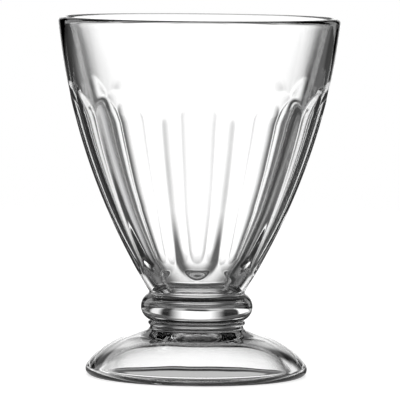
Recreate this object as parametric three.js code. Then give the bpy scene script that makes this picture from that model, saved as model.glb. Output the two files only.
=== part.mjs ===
// Footed dessert glass of clear pressed glass: a fluted bowl, a round knop and a hollow domed foot.
// Millimetres, +Z up. The origin is on the table under the middle of the foot, and one flute faces -Y.

import * as THREE from 'three';

// Heights of the stack, from the table up
const glassHeight = 115;
const footJointHeight = 16.2;
const knopHeight = 10.9;
const jointGap = 0.3;
const waistRadius = 15.45;

// Bowl: its outside leaves the waist on a flare and reaches the rim almost upright
const rimRadius = 45.25;
const rimWall = 2.84;
const waistFlareOut = 17.2;
const waistFlareUp = 27.9;
const rimTaper = 3;
const rimReach = 28.5;

// Cavity inside the bowl, smooth and round: a flaring wall, a rounded corner and a small flat floor
const floorThickness = 0.6;
const floorRadius = 8.15;
const cornerRadius = 10.75;
const cornerRise = 2.25;
const wallLean = 34;
const wallReach = 28.25;
const cavityTaper = 6.55;
const cavityReach = 28.8;

// Flutes: panels with an arched top and a round foot, parted by narrow lands. They are dished low on the
// bowl, where it is slender, and turn to a slight crown higher up.
const fluteCount = 10;
const landWidth = 0.96;
const archBelowRim = 22.56;
const archRise = 9.94;
const fluteAboveJoint = 5.6;
const fluteFootRise = 5.55;
const fluteDish = 0.44;
const dishRadius = 18;
const fluteCrown = 0.29;
const crownRadius = 30;

// Knop: the solid ring between bowl and foot, round at its edge, with a thin collar under it
const knopRadius = 18;
const knopRound = 4.7;
const knopMiddleAboveJoint = 6;
const grooveRadius = 14.95;
const collarBulge = 0.65;
const collarHeight = 1.4;

// Foot: a dome, hollow underneath, that stands on a flat ring
const footRadius = 35.6;
const footEdgeRadius = 2.05;
const footEdgeLean = 34;
const domeEdgeReach = 7.9;
const domeTopOut = 8;
const domeTopDrop = 2.7;
const footShoulderHeight = 15;
const hollowRadius = 31.6;
const hollowHeight = 12;
const hollowCrownReach = 14;
const hollowEdgeLean = 4.6;
const hollowEdgeRise = 8.4;

// Fineness of the faceted surfaces
const sidesPerFlute = 12;
const turnedSides = 72;
const waistSteps = 2;
const fluteFootSteps = 5;
const fluteSteps = 6;
const archSteps = 8;
const bandSteps = 4;
const cavitySteps = 11;
const cornerSteps = 4;
const roundSteps = 6;
const domeSteps = 9;

const degrees = THREE.MathUtils.degToRad;
const point = (radius, height) => new THREE.Vector2(radius, height);

// Turns an outline of radius and height about the Z axis, with its first column of points at -Y.
function turned(outline, sides) {
  const geometry = new THREE.LatheGeometry(outline, sides);
  return geometry.rotateX(Math.PI / 2);
}

function glassPiece(name, geometry) {
  const glass = new THREE.MeshStandardMaterial({ color: 0xeef2f2, roughness: 0.04, metalness: 0 });
  glass.transparent = true;
  glass.opacity = 0.35;
  const mesh = new THREE.Mesh(geometry, glass);
  mesh.name = name;
  return mesh;
}

// Outside of the bowl, from the waist to where the lip starts to round over.
const bowlJointHeight = footJointHeight + knopHeight;
const bowlBottom = bowlJointHeight + jointGap / 2;
const lipRadius = rimWall / 2;
const lipHeight = glassHeight - lipRadius;
const bowlSide = new THREE.CubicBezierCurve(
  point(waistRadius, bowlBottom),
  point(waistRadius + waistFlareOut, bowlBottom + waistFlareUp),
  point(rimRadius - rimTaper, lipHeight - rimReach),
  point(rimRadius, lipHeight),
);

// The point of the bowl's side at a given height.
function sideAtHeight(height) {
  let low = 0;
  let high = 1;
  for (let i = 0; i < 40; i += 1) {
    const middle = (low + high) / 2;
    if (bowlSide.getPoint(middle).y < height) {
      low = middle;
    } else {
      high = middle;
    }
  }
  return bowlSide.getPoint(high);
}

// Heights at which the flutes start, stand at full width, close and end.
const fluteBottom = bowlJointHeight + fluteAboveJoint;
const fluteFootSpring = fluteBottom + fluteFootRise;
const archTop = glassHeight - archBelowRim;
const archSpring = archTop - archRise;

// Points up the bowl's side, close together where the flutes open and close.
function sideOutline() {
  const stretches = [
    [bowlBottom, fluteBottom, waistSteps],
    [fluteBottom, fluteFootSpring, fluteFootSteps],
    [fluteFootSpring, archSpring, fluteSteps],
    [archSpring, archTop, archSteps],
    [archTop, lipHeight, bandSteps],
  ];
  const outline = [];
  for (const [from, to, steps] of stretches) {
    for (let i = 0; i < steps; i += 1) {
      outline.push(sideAtHeight(from + (to - from) * i / steps));
    }
  }
  return [...outline, sideAtHeight(lipHeight)];
}

// How far the middle of a flute stands out from a flat panel, negative where it is dished.
function fluteBulge(radius) {
  const up = THREE.MathUtils.clamp((radius - dishRadius) / (crownRadius - dishRadius), 0, 1);
  return THREE.MathUtils.lerp(-fluteDish, fluteCrown, up);
}

// Radius of the bowl's side at an angle from a flute's middle. A flute is full wide along its sides
// and closes as an ellipse at both ends.
function flutedRadius(radius, height, offMiddle) {
  const over = Math.max((height - archSpring) / archRise, (fluteFootSpring - height) / fluteFootRise, 0);
  const open = Math.max(0, 1 - over * over);
  const fullAngle = Math.PI / fluteCount - Math.asin(landWidth / 2 / radius);
  const flat = radius * Math.cos(fullAngle * Math.sqrt(open)) / Math.cos(offMiddle);
  const sideways = offMiddle / fullAngle;
  return Math.min(radius, flat + fluteBulge(radius) * (open - sideways * sideways));
}

// Presses the flutes into the points of the bowl's side.
function pressFlutes(geometry, outlineLength, sideStart, sideLength) {
  const place = geometry.attributes.position;
  const pitch = 2 * Math.PI / fluteCount;
  for (let i = 0; i < place.count; i += 1) {
    const row = i % outlineLength - sideStart;
    if (row >= 0 && row < sideLength) {
      const [x, y, height] = [place.getX(i), place.getY(i), place.getZ(i)];
      const radius = Math.hypot(x, y);
      const turn = Math.atan2(x, -y) / pitch;
      const offMiddle = (turn - Math.round(turn)) * pitch;
      const inward = flutedRadius(radius, height, offMiddle) / radius;
      place.setXYZ(i, x * inward, y * inward, height);
    }
  }
  geometry.computeVertexNormals();
}

function bowl() {
  const cavityFloor = bowlBottom + floorThickness;
  const innerRim = rimRadius - rimWall;
  const lip = new THREE.EllipseCurve(rimRadius - lipRadius, lipHeight, lipRadius, lipRadius, 0, Math.PI);
  const lean = degrees(wallLean);
  const wallFoot = point(cornerRadius, cavityFloor + cornerRise);
  const cavity = new THREE.CubicBezierCurve(
    point(innerRim, lipHeight),
    point(innerRim - cavityTaper, lipHeight - cavityReach),
    point(wallFoot.x + wallReach * Math.sin(lean), wallFoot.y + wallReach * Math.cos(lean)),
    wallFoot,
  );
  const corner = new THREE.QuadraticBezierCurve(
    wallFoot,
    point(wallFoot.x - cornerRise * Math.tan(lean), cavityFloor),
    point(floorRadius, cavityFloor),
  );
  const side = sideOutline();
  const outline = [
    point(0, bowlBottom),
    ...side,
    ...lip.getPoints(roundSteps).slice(1),
    ...cavity.getPoints(cavitySteps).slice(1),
    ...corner.getPoints(cornerSteps).slice(1),
    point(0, cavityFloor),
  ];
  const geometry = turned(outline, fluteCount * sidesPerFlute);
  pressFlutes(geometry, outline.length, 1, side.length);
  return glassPiece('bowl', geometry);
}

function knop() {
  const low = footJointHeight + jointGap / 2;
  const high = bowlJointHeight - jointGap / 2;
  const collar = new THREE.EllipseCurve(
    grooveRadius, low + collarHeight / 2, collarBulge, collarHeight / 2, -Math.PI / 2, Math.PI / 2);
  const middle = knopRadius - knopRound;
  const ring = new THREE.EllipseCurve(
    middle, footJointHeight + knopMiddleAboveJoint, knopRound, knopRound,
    -Math.acos((grooveRadius - middle) / knopRound), Math.acos((waistRadius - middle) / knopRound));
  const outline = [
    point(0, low),
    ...collar.getPoints(roundSteps),
    ...ring.getPoints(2 * roundSteps),
    point(waistRadius, high),
    point(0, high),
  ];
  return glassPiece('knop', turned(outline, turnedSides));
}

function foot() {
  const top = footJointHeight - jointGap / 2;
  const lean = degrees(footEdgeLean);
  const edge = new THREE.EllipseCurve(
    footRadius - footEdgeRadius, footEdgeRadius, footEdgeRadius, footEdgeRadius, -Math.PI / 2, lean);
  const edgeEnd = edge.getPoint(1);
  const dome = new THREE.CubicBezierCurve(
    edgeEnd,
    point(edgeEnd.x - domeEdgeReach * Math.sin(lean), edgeEnd.y + domeEdgeReach * Math.cos(lean)),
    point(waistRadius + domeTopOut, footShoulderHeight - domeTopDrop),
    point(waistRadius, footShoulderHeight),
  );
  const shoulder = new THREE.QuadraticBezierCurve(
    point(waistRadius, footShoulderHeight),
    point(grooveRadius, footShoulderHeight),
    point(grooveRadius, top),
  );
  const hollow = new THREE.CubicBezierCurve(
    point(0, hollowHeight),
    point(hollowCrownReach, hollowHeight),
    point(hollowRadius - hollowEdgeLean, hollowEdgeRise),
    point(hollowRadius, 0),
  );
  const outline = [
    point(0, hollowHeight),
    ...hollow.getPoints(domeSteps).slice(1),
    ...edge.getPoints(roundSteps),
    ...dome.getPoints(domeSteps).slice(1),
    ...shoulder.getPoints(roundSteps).slice(1),
    point(0, top),
  ];
  return glassPiece('foot', turned(outline, turnedSides));
}

const dessertGlass = new THREE.Group();
dessertGlass.add(foot(), knop(), bowl());

export default dessertGlass;
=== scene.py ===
import math
import bpy
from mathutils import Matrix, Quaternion, Vector


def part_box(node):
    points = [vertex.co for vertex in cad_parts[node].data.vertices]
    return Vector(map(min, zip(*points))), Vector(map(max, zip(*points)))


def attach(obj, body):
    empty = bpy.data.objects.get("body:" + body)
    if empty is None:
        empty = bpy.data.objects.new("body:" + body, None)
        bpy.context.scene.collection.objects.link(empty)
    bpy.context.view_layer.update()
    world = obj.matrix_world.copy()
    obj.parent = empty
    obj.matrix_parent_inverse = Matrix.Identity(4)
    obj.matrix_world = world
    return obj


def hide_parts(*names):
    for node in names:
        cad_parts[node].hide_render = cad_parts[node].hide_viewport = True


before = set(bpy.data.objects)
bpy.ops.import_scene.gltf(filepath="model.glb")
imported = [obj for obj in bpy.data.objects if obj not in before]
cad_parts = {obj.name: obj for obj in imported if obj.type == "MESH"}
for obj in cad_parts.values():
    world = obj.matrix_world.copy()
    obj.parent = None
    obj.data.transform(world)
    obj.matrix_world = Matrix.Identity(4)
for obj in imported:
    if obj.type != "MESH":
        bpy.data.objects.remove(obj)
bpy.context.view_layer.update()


# Foot: the domed disc that the glass stands on, of clear soda-lime glass, hollow underneath.
# It is pressed in an open mould and fire-polished, so both faces shine, and only the narrow ring
# that touches the table is scuffed. Its shoulder runs up to the groove where the knop is fused on.
MM = 0.001
foot_low, foot_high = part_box("foot")
knop_low, knop_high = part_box("knop")
FOOT_JOINT = (foot_high[2] + knop_low[2]) / 2
FOOT_RADIUS = foot_high[0]
FOOT_EDGE_ROUND = 2.05 * MM
FOOT_EDGE_LEAN = math.radians(34)
FOOT_EDGE_STEPS = 20
DOME_EDGE_REACH = 7.9 * MM
DOME_TOP_OUT = 8 * MM
DOME_TOP_DROP = 2.7 * MM
DOME_STEPS = 48
WAIST_RADIUS = 15.45 * MM
GROOVE_RADIUS = 14.95 * MM
SHOULDER_HEIGHT = 15 * MM
SHOULDER_TURN_IN = 0.35 * MM
SHOULDER_TURN_UP = 0.3 * MM
SHOULDER_END_UP = 0.6 * MM
SHOULDER_STEPS = 8
HOLLOW_RADIUS = 31.6 * MM
HOLLOW_HEIGHT = 12 * MM
HOLLOW_CROWN_REACH = 14 * MM
HOLLOW_EDGE_LEAN = 4.6 * MM
HOLLOW_EDGE_RISE = 8.4 * MM
HOLLOW_STEPS = 60
RING_STEPS = 6
TURNED_COLUMNS = 240
GLASS_IOR = 1.52
GLASS_SHADE = (0.9, 0.9, 0.9, 1)
GLASS_DENSITY = 20.0
CLEAR_TINT = (0.99, 0.99, 0.99, 1)
SMEAR_TINT = (0.977, 0.977, 0.977, 1)
SMEAR_SCALE = 70.0
SMEAR_ROUGHNESS = 0.012
SKIN_SCALE = 900.0
SKIN_HEIGHT = 0.004
SCUFF_SCALE = 420.0
SCUFF_ROUGHNESS = 0.22
SCUFF_HEIGHT = 0.15
SCUFF_FULL = 0.05 * MM
SCUFF_END = 0.5 * MM
FOOT_WAVE_SCALE = 55.0
FOOT_WAVE_DEPTH = 0.1 * MM
JOINT_TOLERANCE = 1e-6


def bezier(start, start_handle, end_handle, end, steps):
    """Points of radius and height along a Bezier curve, without its first one."""
    points = []
    for step in range(1, steps + 1):
        t = step / steps
        weights = ((1 - t) ** 3, 3 * t * (1 - t) ** 2, 3 * t * t * (1 - t), t ** 3)
        corners = (start, start_handle, end_handle, end)
        points.append(tuple(sum(w * c[axis] for w, c in zip(weights, corners)) for axis in (0, 1)))
    return points


def arc(middle, radius, start, end, steps):
    """Points of radius and height along a round edge, from one angle to another."""
    angles = [start + (end - start) * step / steps for step in range(steps + 1)]
    return [(middle[0] + radius * math.cos(a), middle[1] + radius * math.sin(a)) for a in angles]


def turned(name, outline):
    """A closed body turned about Z. The outline starts and ends on the axis."""
    verts = [(0, 0, outline[0][1])]
    for radius, height in outline[1:-1]:
        for column in range(TURNED_COLUMNS):
            angle = 2 * math.pi * column / TURNED_COLUMNS
            verts.append((radius * math.sin(angle), -radius * math.cos(angle), height))
    verts.append((0, 0, outline[-1][1]))
    faces = []
    rings = len(outline) - 2
    top = len(verts) - 1
    for column in range(TURNED_COLUMNS):
        beside = (column + 1) % TURNED_COLUMNS
        faces.append((0, 1 + beside, 1 + column))
        for ring in range(rings - 1):
            low = 1 + ring * TURNED_COLUMNS
            high = low + TURNED_COLUMNS
            faces.append((low + column, low + beside, high + beside, high + column))
        last = 1 + (rings - 1) * TURNED_COLUMNS
        faces.append((last + column, last + beside, top))
    mesh = bpy.data.meshes.new(name)
    mesh.from_pydata(verts, [], faces)
    mesh.shade_smooth()
    piece = bpy.data.objects.new(name, mesh)
    bpy.context.scene.collection.objects.link(piece)
    return piece


class Wire:
    """A socket in a node tree. Sums on it add Math nodes, and node() adds any other node."""

    def __init__(self, tree, socket=None):
        self.tree = tree
        self.socket = socket

    def node(self, kind, settings, sockets, result=0):
        made = self.tree.nodes.new(kind)
        for name, value in settings.items():
            setattr(made, name, value)
        for name, value in sockets.items():
            if isinstance(value, Wire):
                self.tree.links.new(value.socket, made.inputs[name])
            else:
                made.inputs[name].default_value = value
        return Wire(self.tree, made.outputs[result] if len(made.outputs) else None)

    def math(self, operation, *others):
        return self.node("ShaderNodeMath", {"operation": operation}, dict(enumerate((self, *others))))

    def __add__(self, other):
        return self.math("ADD", other)

    def __sub__(self, other):
        return self.math("SUBTRACT", other)

    def __mul__(self, other):
        return self.math("MULTIPLY", other)

    def __truediv__(self, other):
        return self.math("DIVIDE", other)

    def __rsub__(self, other):
        return self.node("ShaderNodeMath", {"operation": "SUBTRACT"}, {0: other, 1: self})

    def __rtruediv__(self, other):
        return self.node("ShaderNodeMath", {"operation": "DIVIDE"}, {0: other, 1: self})

    __radd__ = __add__
    __rmul__ = __mul__

    def ease(self, low, high):
        """0 below low, 1 above high and a soft step between."""
        return self.node(
            "ShaderNodeMapRange", {"interpolation_type": "SMOOTHSTEP"},
            {"Value": self, "From Min": low, "From Max": high})

    def axis(self, name):
        return self.node("ShaderNodeSeparateXYZ", {}, {0: self}, name)


def clear_glass(name, wave_scale, wave_depth, scuff=None):
    """Clear pressed glass: soft waves from the mould, a fine skin, faint smears and scuffed places."""
    finish = bpy.data.materials.new(name)
    finish.use_nodes = True
    finish.node_tree.nodes.clear()
    tree = Wire(finish.node_tree)
    place = tree.node("ShaderNodeTexCoord", {}, {}, "Object")
    waves = tree.node(
        "ShaderNodeTexNoise", {},
        {"Vector": place, "Scale": wave_scale, "Detail": 1.0, "Roughness": 0.4}, "Fac")
    skin = tree.node("ShaderNodeTexNoise", {}, {"Vector": place, "Scale": SKIN_SCALE, "Detail": 2.0}, "Fac")
    smears = tree.node(
        "ShaderNodeTexNoise", {},
        {"Vector": place, "Scale": SMEAR_SCALE, "Detail": 4.0, "Distortion": 1.5}, "Fac")
    smeared = smears.ease(0.62, 0.8)
    rough = smeared * SMEAR_ROUGHNESS
    height = waves + skin * SKIN_HEIGHT
    if scuff:
        worn = scuff(tree, place)
        rough = rough + worn * SCUFF_ROUGHNESS
        height = height + worn * skin * SCUFF_HEIGHT
    normal = tree.node(
        "ShaderNodeBump", {}, {"Strength": 1.0, "Distance": wave_depth, "Height": height}, "Normal")
    tint = tree.node("ShaderNodeMix", {"data_type": "RGBA"}, {0: smeared, 6: CLEAR_TINT, 7: SMEAR_TINT}, 2)
    shader = tree.node(
        "ShaderNodeBsdfPrincipled", {},
        {"Base Color": tint, "Roughness": rough, "Normal": normal,
         "IOR": GLASS_IOR, "Transmission Weight": 1.0})
    depth = tree.node("ShaderNodeVolumeAbsorption", {}, {"Color": GLASS_SHADE, "Density": GLASS_DENSITY})
    tree.node("ShaderNodeOutputMaterial", {}, {"Surface": shader, "Volume": depth})
    return finish


def scuffed_ring(tree, place):
    """The ring of the foot that slides on tables: everything lower than a few tenths of a millimetre."""
    grain = tree.node("ShaderNodeTexNoise", {}, {"Vector": place, "Scale": SCUFF_SCALE, "Detail": 3.0}, "Fac")
    return (1 - place.axis("Z").ease(SCUFF_FULL, SCUFF_END)) * grain.ease(0.4, 0.7)


foot_edge_middle = (FOOT_RADIUS - FOOT_EDGE_ROUND, FOOT_EDGE_ROUND)
foot_edge = arc(foot_edge_middle, FOOT_EDGE_ROUND, -math.pi / 2, FOOT_EDGE_LEAN, FOOT_EDGE_STEPS)
edge_radius, edge_height = foot_edge[-1]
dome_edge_handle = (
    edge_radius - DOME_EDGE_REACH * math.sin(FOOT_EDGE_LEAN),
    edge_height + DOME_EDGE_REACH * math.cos(FOOT_EDGE_LEAN))
dome = bezier(
    foot_edge[-1],
    dome_edge_handle,
    (WAIST_RADIUS + DOME_TOP_OUT, SHOULDER_HEIGHT - DOME_TOP_DROP),
    (WAIST_RADIUS, SHOULDER_HEIGHT), DOME_STEPS)
shoulder = bezier(
    dome[-1],
    (WAIST_RADIUS - SHOULDER_TURN_IN, SHOULDER_HEIGHT + SHOULDER_TURN_UP),
    (GROOVE_RADIUS, SHOULDER_HEIGHT + SHOULDER_END_UP),
    (GROOVE_RADIUS, FOOT_JOINT), SHOULDER_STEPS)
hollow = [(0, HOLLOW_HEIGHT)] + bezier(
    (0, HOLLOW_HEIGHT),
    (HOLLOW_CROWN_REACH, HOLLOW_HEIGHT),
    (HOLLOW_RADIUS - HOLLOW_EDGE_LEAN, HOLLOW_EDGE_RISE),
    (HOLLOW_RADIUS, 0), HOLLOW_STEPS)
resting_ring = []
for step in range(1, RING_STEPS):
    resting_ring.append((HOLLOW_RADIUS + (foot_edge[0][0] - HOLLOW_RADIUS) * step / RING_STEPS, 0))
foot = turned("foot", hollow + resting_ring + foot_edge + dome + shoulder + [(0, FOOT_JOINT)])

# Where two pieces are fused there is no surface left in the glass, so the mating discs are clear.
fused_joint = bpy.data.materials.new("fused joint")
fused_joint.use_nodes = True
fused_joint.node_tree.nodes["Principled BSDF"].inputs["Alpha"].default_value = 0.0


def fuse(piece, finish, *heights):
    """Gives a piece its glass, and the clear finish on its discs at the joints' heights."""
    piece.data.materials.append(finish)
    piece.data.materials.append(fused_joint)
    for face in piece.data.polygons:
        if any(abs(face.center.z - height) < JOINT_TOLERANCE for height in heights):
            face.material_index = 1


fuse(foot, clear_glass("foot glass", FOOT_WAVE_SCALE, FOOT_WAVE_DEPTH, scuffed_ring), FOOT_JOINT)
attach(foot, "root")
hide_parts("foot")


# Knop: the solid ring of clear glass between foot and bowl, with a round edge and a thin collar
# under it. It is pressed with the stem of the glass and fused to foot and bowl while hot.
bowl_low, bowl_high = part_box("bowl")
BOWL_JOINT = (knop_high[2] + bowl_low[2]) / 2
KNOP_RADIUS = knop_high[0]
KNOP_ROUND = 4.7 * MM
KNOP_MIDDLE_ABOVE_JOINT = 6 * MM
KNOP_STEPS = 56
COLLAR_BULGE = 0.65 * MM
COLLAR_HEIGHT = 1.55 * MM
COLLAR_STEPS = 12
GROOVE_FILLET = 0.2 * MM
NECK_FILLET = 0.15 * MM
NECK_TURN_UP = 0.2 * MM
NECK_END_DOWN = 0.4 * MM
NECK_STEPS = 6
KNOP_WAVE_SCALE = 80.0
KNOP_WAVE_DEPTH = 0.15 * MM

knop_middle = (KNOP_RADIUS - KNOP_ROUND, FOOT_JOINT + KNOP_MIDDLE_ABOVE_JOINT)
collar = []
for step in range(COLLAR_STEPS + 1):
    angle = math.pi * (step / COLLAR_STEPS - 0.5)
    collar.append((
        GROOVE_RADIUS + COLLAR_BULGE * math.cos(angle),
        FOOT_JOINT + COLLAR_HEIGHT / 2 * (1 + math.sin(angle))))
knop_start = -math.acos((GROOVE_RADIUS + GROOVE_FILLET - knop_middle[0]) / KNOP_ROUND)
knop_end = math.acos((WAIST_RADIUS + NECK_FILLET - knop_middle[0]) / KNOP_ROUND)
knop_edge = arc(knop_middle, KNOP_ROUND, knop_start, knop_end, KNOP_STEPS)
neck = bezier(
    knop_edge[-1],
    (WAIST_RADIUS, knop_edge[-1][1] + NECK_TURN_UP),
    (WAIST_RADIUS, BOWL_JOINT - NECK_END_DOWN),
    (WAIST_RADIUS, BOWL_JOINT), NECK_STEPS)
knop = turned("knop", [(0, FOOT_JOINT)] + collar + knop_edge + neck + [(0, BOWL_JOINT)])
fuse(knop, clear_glass("knop glass", KNOP_WAVE_SCALE, KNOP_WAVE_DEPTH), FOOT_JOINT, BOWL_JOINT)
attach(knop, "root")
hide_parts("knop")


# Bowl: a tapered cup of clear pressed glass with a rounded lip. A plunger makes the smooth inside, and
# the mould makes ten flutes outside, dished low on the bowl and slightly crowned higher up, each with
# an arched top, a round foot and a narrow land on either side. Its waist is fused to the knop.
BOWL_TOP = bowl_high[2]
LIP_ROUND = 1.42 * MM
CAVITY_FLOOR = 27.85 * MM
COLUMN_CROWDING = 0.3
EDGE_DETAIL = 200
ROUND_DETAIL = 64
BOWL_WAVE_SCALE = 48.0
BOWL_WAVE_DEPTH = 0.2 * MM
bowl_sizes = {
    "Flutes": 10,
    "Columns": 400,
    "Side rows": 150,
    "Lip rows": 15,
    "Cavity rows": 56,
    "Corner rows": 16,
    "Rim radius": 45.25 * MM,
    "Lip round": LIP_ROUND,
    "Lip height": BOWL_TOP - LIP_ROUND,
    "Waist": (WAIST_RADIUS, 0, BOWL_JOINT),
    "Waist flare": (17.2 * MM, 0, 27.9 * MM),
    "Rim flare": (-3 * MM, 0, -28.5 * MM),
    "Cavity top flare": (-6.55 * MM, 0, -28.8 * MM),
    "Cavity low flare": (15.8 * MM, 0, 23.42 * MM),
    "Cavity corner": (10.75 * MM, 0, 30.1 * MM),
    "Cavity floor edge": (8.15 * MM, 0, CAVITY_FLOOR),
    "Cavity floor": (0, 0, CAVITY_FLOOR),
    "Land": 0.96 * MM,
    "Arch top": BOWL_TOP - 22.56 * MM,
    "Arch rise": 9.94 * MM,
    "Flute bottom": BOWL_JOINT + 5.6 * MM,
    "Flute bottom rise": 5.55 * MM,
    "Dish": 0.44 * MM,
    "Dish radius": 18 * MM,
    "Crown": 0.29 * MM,
    "Crown radius": 30 * MM,
    "Cove": 0.15 * MM,
    "Full cove radius": 36 * MM,
    "Edge softness": 0.51 * MM,
    "Joint": BOWL_JOINT,
    "Glass": clear_glass("bowl glass", BOWL_WAVE_SCALE, BOWL_WAVE_DEPTH),
    "Fused": fused_joint,
}

bowl_tree = bpy.data.node_groups.new("fluted bowl", "GeometryNodeTree")
bowl_tree.interface.new_socket("Bowl", in_out="OUTPUT", socket_type="NodeSocketGeometry")
socket_kinds = {int: "Int", float: "Float", tuple: "Vector", bpy.types.Material: "Material"}
bowl_inputs = {}
for label, value in bowl_sizes.items():
    bowl_inputs[label] = bowl_tree.interface.new_socket(
        label, in_out="INPUT", socket_type="NodeSocket" + socket_kinds[type(value)]).identifier
press = Wire(bowl_tree)
given = bowl_tree.nodes.new("NodeGroupInput")
size = {label: Wire(bowl_tree, given.outputs[label]) for label in bowl_sizes}


def move(a, b):
    return press.node("ShaderNodeVectorMath", {"operation": "ADD"}, {0: a, 1: b})


def point(radius, height):
    return press.node("ShaderNodeCombineXYZ", {}, {"X": radius, "Z": height})


def profile(start, start_handle, end_handle, end):
    """An edge of the bowl's cross-section, as radius on X and height on Z."""
    return press.node(
        "GeometryNodeCurvePrimitiveBezierSegment", {},
        {"Resolution": EDGE_DETAIL, "Start": start, "Start Handle": start_handle,
         "End Handle": end_handle, "End": end})


def skin(edge, rows, flute=None):
    """Carries an edge of the cross-section round the axis, with columns crowded at the lands."""
    grid = press.node(
        "GeometryNodeMeshGrid", {},
        {"Size X": 1.0, "Size Y": 1.0, "Vertices X": size["Columns"] + 1, "Vertices Y": rows})
    where = press.node("GeometryNodeInputPosition", {}, {})
    turns = (where.axis("X") + 0.5) * size["Flutes"]
    flute_number = (turns + 0.5).math("FLOOR")
    across = turns - flute_number
    crowded = across * (1 + COLUMN_CROWDING - 4 * COLUMN_CROWDING * across * across)
    pitch = 2 * math.pi / size["Flutes"]
    off_middle = crowded * pitch
    sample = press.node(
        "GeometryNodeSampleCurve", {"mode": "FACTOR", "use_all_curves": True},
        {"Curves": edge, "Factor": where.axis("Y") + 0.5}, "Position")
    radius = sample.axis("X")
    if flute:
        radius = flute(radius, sample.axis("Z"), off_middle, pitch)
    angle = flute_number * pitch + off_middle
    placed = press.node(
        "ShaderNodeCombineXYZ", {},
        {"X": radius * angle.math("SINE"), "Y": radius * angle.math("COSINE") * -1, "Z": sample.axis("Z")})
    return press.node("GeometryNodeSetPosition", {}, {"Geometry": grid, "Position": placed})


def fluted(radius, height, off_middle, pitch):
    """The bowl's radius with a flute pressed in, which closes in an arch at both ends.

    The flutes have a slight crown up the bowl, and are dished near its foot.
    """
    half = pitch / 2 - (size["Land"] / 2 / radius).math("ARCSINE")
    over_top = (height - size["Arch top"]) / size["Arch rise"] + 1
    under = (size["Flute bottom"] - height) / size["Flute bottom rise"] + 1
    past = over_top.math("MAXIMUM", under).math("MAXIMUM", 0)
    opened = 1 - past * past
    edge_angle = half * half * opened
    flat = radius * (1 - edge_angle / 2 + edge_angle * edge_angle / 24) / off_middle.math("COSINE")
    sideways = off_middle / half
    sideways = sideways * sideways
    open_part = opened.math("MAXIMUM", 0)
    bulge = press.node(
        "ShaderNodeMapRange", {},
        {"Value": radius, "From Min": size["Dish radius"], "From Max": size["Crown radius"],
         "To Min": size["Dish"] * -1, "To Max": size["Crown"]})
    share = (radius / size["Full cove radius"]).math("MINIMUM", 1)
    cove = size["Cove"] * share * (open_part.math("POWER", 3) - sideways.math("POWER", 3))
    return radius.math("SMOOTH_MIN", flat + bulge * (opened - sideways) - cove, size["Edge softness"])


lip_outer = point(size["Rim radius"], size["Lip height"])
side = profile(
    size["Waist"], move(size["Waist"], size["Waist flare"]), move(lip_outer, size["Rim flare"]), lip_outer)
lip_arc = press.node(
    "GeometryNodeCurveArc", {},
    {"Resolution": ROUND_DETAIL, "Radius": size["Lip round"], "Start Angle": 0.0, "Sweep Angle": math.pi})
lip = press.node(
    "GeometryNodeTransform", {},
    {"Geometry": lip_arc,
     "Rotation": (math.pi / 2, 0, 0),
     "Translation": point(size["Rim radius"] - size["Lip round"], size["Lip height"])})
lip_inner = point(size["Rim radius"] - size["Lip round"] * 2, size["Lip height"])
cavity = profile(
    lip_inner, move(lip_inner, size["Cavity top flare"]),
    move(size["Cavity corner"], size["Cavity low flare"]), size["Cavity corner"])
corner_fall = size["Cavity corner"].axis("Z") - size["Cavity floor"].axis("Z")
wall_slope = size["Cavity low flare"].axis("X") / size["Cavity low flare"].axis("Z")
crease = point(size["Cavity corner"].axis("X") - corner_fall * wall_slope, size["Cavity floor"].axis("Z"))
corner = press.node(
    "GeometryNodeCurveQuadraticBezier", {},
    {"Resolution": ROUND_DETAIL, "Start": size["Cavity corner"], "Middle": crease,
     "End": size["Cavity floor edge"]})


def disc(middle, edge):
    return skin(press.node("GeometryNodeCurvePrimitiveLine", {}, {"Start": middle, "End": edge}), 2)


skins = bowl_tree.nodes.new("GeometryNodeJoinGeometry")
for part in (
        disc(size["Cavity floor edge"], size["Cavity floor"]), skin(corner, size["Corner rows"]),
        skin(cavity, size["Cavity rows"]), skin(lip, size["Lip rows"]),
        skin(side, size["Side rows"], fluted), disc(point(0.0, size["Joint"]), size["Waist"])):
    bowl_tree.links.new(part.socket, skins.inputs[0])
welded = press.node(
    "GeometryNodeMergeByDistance", {},
    {"Geometry": Wire(bowl_tree, skins.outputs[0]), "Distance": JOINT_TOLERANCE})
smooth = press.node("GeometryNodeSetShadeSmooth", {}, {"Geometry": welded})
real = press.node("GeometryNodeRealizeInstances", {}, {"Geometry": smooth})
glassy = press.node("GeometryNodeSetMaterial", {}, {"Geometry": real, "Material": size["Glass"]})
face_height = press.node("GeometryNodeInputPosition", {}, {}).axis("Z")
at_joint = (face_height - size["Joint"]).math("LESS_THAN", JOINT_TOLERANCE)
done = press.node(
    "GeometryNodeSetMaterial", {}, {"Geometry": glassy, "Selection": at_joint, "Material": size["Fused"]})
press.node("NodeGroupOutput", {}, {"Bowl": done})

blank = bpy.data.objects.new("bowl blank", bpy.data.meshes.new("bowl blank"))
bpy.context.scene.collection.objects.link(blank)
pressing = blank.modifiers.new("press", "NODES")
pressing.node_group = bowl_tree
for label, value in bowl_sizes.items():
    pressing[bowl_inputs[label]] = value
ready = blank.evaluated_get(bpy.context.evaluated_depsgraph_get())
bowl = bpy.data.objects.new("bowl", bpy.data.meshes.new_from_object(ready))
bowl.data.name = "bowl"
bpy.context.scene.collection.objects.link(bowl)
bpy.data.objects.remove(blank)
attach(bowl, "root")
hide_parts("bowl")


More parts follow.
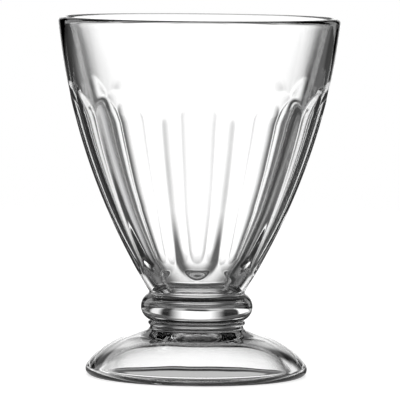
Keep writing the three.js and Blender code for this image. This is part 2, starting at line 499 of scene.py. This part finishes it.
# Floor: a plain white table top under the glass, lit from above, which keeps the glass's soft shadow and
# fades out into the white backdrop. To every ray but the camera's it glows instead with painted light: soft
# painted patches of light, with dark strips between them that draw the glass's edges, and painted shade close
# round the foot.
TABLE_REACH = 0.9
TABLE_COLOUR = (0.9, 0.9, 0.9, 1)
TABLE_LIFT = 0.7
TABLE_FADE_START = 0.12
TABLE_FADE_END = 0.8
UNDER_FOOT_PAINTED_SHADE = 0.48
# The table's dim painted glow between the patches, which paints shade close round the glass.
PAINTED_TABLE_FILL = 0.1
MIRROR_DIMMING = 0.8
LAMP_WIDTH = 1.6
LAMP_HEIGHT = 1.6
LAMP_ENERGY = 14
table = bpy.data.meshes.new("table")
table.from_pydata(
    [(-TABLE_REACH, -TABLE_REACH, 0), (TABLE_REACH, -TABLE_REACH, 0), (TABLE_REACH, TABLE_REACH, 0),
     (-TABLE_REACH, TABLE_REACH, 0)], [], [(0, 1, 2, 3)])
floor = bpy.data.objects.new("floor", table)
bpy.context.scene.collection.objects.link(floor)
paper = bpy.data.materials.new("white table")
paper.use_nodes = True
paper.node_tree.nodes.clear()
sheet = Wire(paper.node_tree)


def bearing_of(place):
    """Degrees to the right of straight behind the glass."""
    return place.axis("X").math("ARCTAN2", place.axis("Y")) * (180 / math.pi)


def panel(bearing, along, middle, half_width, soft_side, low, soft_low, high, soft_high, strength):
    """A soft-edged patch of light, across the bearing and along a second measure."""
    offset = (bearing - middle).math("WRAP", 180, -180).math("ABSOLUTE")
    wide = 1 - offset.ease(half_width - soft_side, half_width + soft_side)
    tall = along.ease(low - soft_low, low + soft_low) * (1 - along.ease(high - soft_high, high + soft_high))
    return wide * tall * strength


def unmirrored(tree):
    """1 for light that goes straight through the glass, and little for light mirrored inside it."""
    turned_back = tree.node("ShaderNodeLightPath", {}, {}, "Glossy Depth").math("MINIMUM", 1)
    passed = tree.node("ShaderNodeLightPath", {}, {}, "Transmission Depth").math("MINIMUM", 1)
    return 1 - turned_back * passed * MIRROR_DIMMING


# Along the table, a patch of painted light is placed by the power of ten of its distance in millimetres.
spot = sheet.node("ShaderNodeTexCoord", {}, {}, "Object")
spot_bearing = bearing_of(spot)
distance = sheet.node("ShaderNodeVectorMath", {"operation": "LENGTH"}, {0: spot}, "Value")
decades = (distance / MM).math("LOGARITHM", 10)
behind_patch = panel(
    spot_bearing, decades, middle=0, half_width=14.1, soft_side=8,
    low=2.14, soft_low=0.43, high=9, soft_high=1, strength=1.24)
left_patch = panel(
    spot_bearing, decades, middle=-62.4, half_width=10, soft_side=14,
    low=1.83, soft_low=0.45, high=9, soft_high=1, strength=0.67)
right_patch = panel(
    spot_bearing, decades, middle=48, half_width=12.6, soft_side=3,
    low=1.5, soft_low=0.47, high=9, soft_high=1, strength=0.11)
front_left_ring = panel(
    spot_bearing, decades, middle=-133, half_width=47, soft_side=3,
    low=1.49, soft_low=0.05, high=1.9, soft_high=0.05, strength=0.36)
front_right_ring = panel(
    spot_bearing, decades, middle=139.6, half_width=51, soft_side=3,
    low=1.47, soft_low=0.05, high=1.9, soft_high=0.07, strength=0.36)
front_patch = panel(
    spot_bearing, decades, middle=180, half_width=97, soft_side=6,
    low=1.9, soft_low=0.1, high=9, soft_high=1, strength=0.8)
# Painted shade under the foot: there the table glows only a mid grey, not white.
painted_shade_under_foot = (1 - decades.ease(1.38, 1.46)) * UNDER_FOOT_PAINTED_SHADE
left_strip = panel(
    spot_bearing, decades, middle=-63, half_width=15, soft_side=5,
    low=1.93, soft_low=0.06, high=2.25, soft_high=0.06, strength=0.5)
right_strip = panel(
    spot_bearing, decades, middle=53, half_width=9, soft_side=4,
    low=1.93, soft_low=0.06, high=2.25, soft_high=0.06, strength=0.5)
painted_light_patches = behind_patch + left_patch + right_patch + front_left_ring + front_right_ring
painted_room_light = front_patch + painted_shade_under_foot + left_strip + right_strip + PAINTED_TABLE_FILL
# Every ray but the camera's sees the table glow with this painted light, not the lit white top.
painted_table_light = sheet.node("ShaderNodeEmission", {}, {"Strength": painted_light_patches + painted_room_light * unmirrored(sheet)})
matt = sheet.node("ShaderNodeBsdfDiffuse", {}, {"Color": TABLE_COLOUR})
bright = sheet.node("ShaderNodeEmission", {}, {"Strength": TABLE_LIFT})
white = sheet.node("ShaderNodeAddShader", {}, {0: matt, 1: bright})
gone = sheet.node("ShaderNodeBsdfTransparent", {}, {})
fade = distance.ease(TABLE_FADE_START, TABLE_FADE_END)
faded = sheet.node("ShaderNodeMixShader", {}, {0: fade, 1: white, 2: gone})
direct = sheet.node("ShaderNodeLightPath", {}, {}, "Is Camera Ray")
top = sheet.node("ShaderNodeMixShader", {}, {0: direct, 1: painted_table_light, 2: faded})
sheet.node("ShaderNodeOutputMaterial", {}, {"Surface": top})
paper.cycles.emission_sampling = "NONE"
table.materials.append(paper)
overhead = bpy.data.lights.new("overhead", "AREA")
overhead.shape = "DISK"
overhead.size = LAMP_WIDTH
overhead.energy = LAMP_ENERGY
lamp = bpy.data.objects.new("overhead", overhead)
lamp.location = (0, 0, LAMP_HEIGHT)
lamp.visible_transmission = False
lamp.visible_glossy = False
bpy.context.scene.collection.objects.link(lamp)


# Studio: a white backdrop and soft boxes beside it, with dark gaps between them that draw the edges
# of the glass. The camera itself sees plain white behind the object. Soft boxes are placed by their
# bearing and by their rise above the table, both in degrees.
studio = bpy.data.worlds.new("studio")
studio.use_nodes = True
studio.node_tree.nodes.clear()
bpy.context.scene.world = studio
sky = Wire(studio.node_tree)
toward = sky.node("ShaderNodeTexCoord", {}, {}, "Generated")
sky_bearing = bearing_of(toward)
rise = toward.axis("Z").math("ARCSINE") * (180 / math.pi)
behind_box = panel(
    sky_bearing, rise, middle=0.2, half_width=14.8, soft_side=8,
    low=-9, soft_low=1, high=11, soft_high=1.5, strength=1.3)
left_box = panel(
    sky_bearing, rise, middle=-50, half_width=11.7, soft_side=2.7,
    low=-9, soft_low=1, high=30.2, soft_high=2, strength=1.4)
right_box = panel(
    sky_bearing, rise, middle=38, half_width=7, soft_side=4,
    low=-9, soft_low=1, high=23, soft_high=1.3, strength=1.0)
high_bank = panel(
    sky_bearing, rise, middle=-20, half_width=36.5, soft_side=25,
    low=18, soft_low=2.1, high=35, soft_high=11.2, strength=0.43)
left_tube = panel(
    sky_bearing, rise, middle=-15, half_width=6, soft_side=3,
    low=10, soft_low=2, high=28, soft_high=3, strength=0.45)
right_tube = panel(
    sky_bearing, rise, middle=14, half_width=5, soft_side=3,
    low=10, soft_low=2, high=26, soft_high=3, strength=0.45)
room_walls = panel(
    sky_bearing, rise, middle=180, half_width=116, soft_side=6,
    low=-9, soft_low=1, high=27, soft_high=4, strength=0.75)
boxes = behind_box + left_box + right_box + high_bank + left_tube + right_tube
light = boxes + room_walls * unmirrored(sky)
seen = sky.node("ShaderNodeLightPath", {}, {}, "Is Camera Ray")
shown = light + seen * (1 - light)
backdrop = sky.node("ShaderNodeBackground", {}, {"Color": (1, 1, 1, 1), "Strength": shown})
sky.node("ShaderNodeOutputWorld", {}, {"Surface": backdrop})


# Camera: a long lens a little above the rim, framed as the photograph is.
CAMERA_PLACE = Vector((0, -1.4, 0.155))
CAMERA_AIM = Vector((0, 0, 0.0578))
CAMERA_ROLL = math.radians(0.55)
CAMERA_SHIFT_X = 0.0055
CAMERA_SHIFT_Y = -0.01125
SENSOR_WIDTH = 36
FRAME_WIDTH = 0.400 / 3.116
camera = bpy.data.cameras.new("camera")
camera.sensor_width = SENSOR_WIDTH
camera.lens = camera.sensor_width * (CAMERA_AIM - CAMERA_PLACE).length / FRAME_WIDTH
camera.shift_x = CAMERA_SHIFT_X
camera.shift_y = CAMERA_SHIFT_Y
stand = bpy.data.objects.new("camera", camera)
stand.location = CAMERA_PLACE
stand.rotation_mode = "QUATERNION"
turn = (CAMERA_AIM - CAMERA_PLACE).to_track_quat("-Z", "Y")
stand.rotation_quaternion = turn @ Quaternion((0, 0, 1), CAMERA_ROLL)
bpy.context.scene.collection.objects.link(stand)
bpy.context.scene.camera = stand
bpy.context.scene.view_settings.view_transform = "Standard"
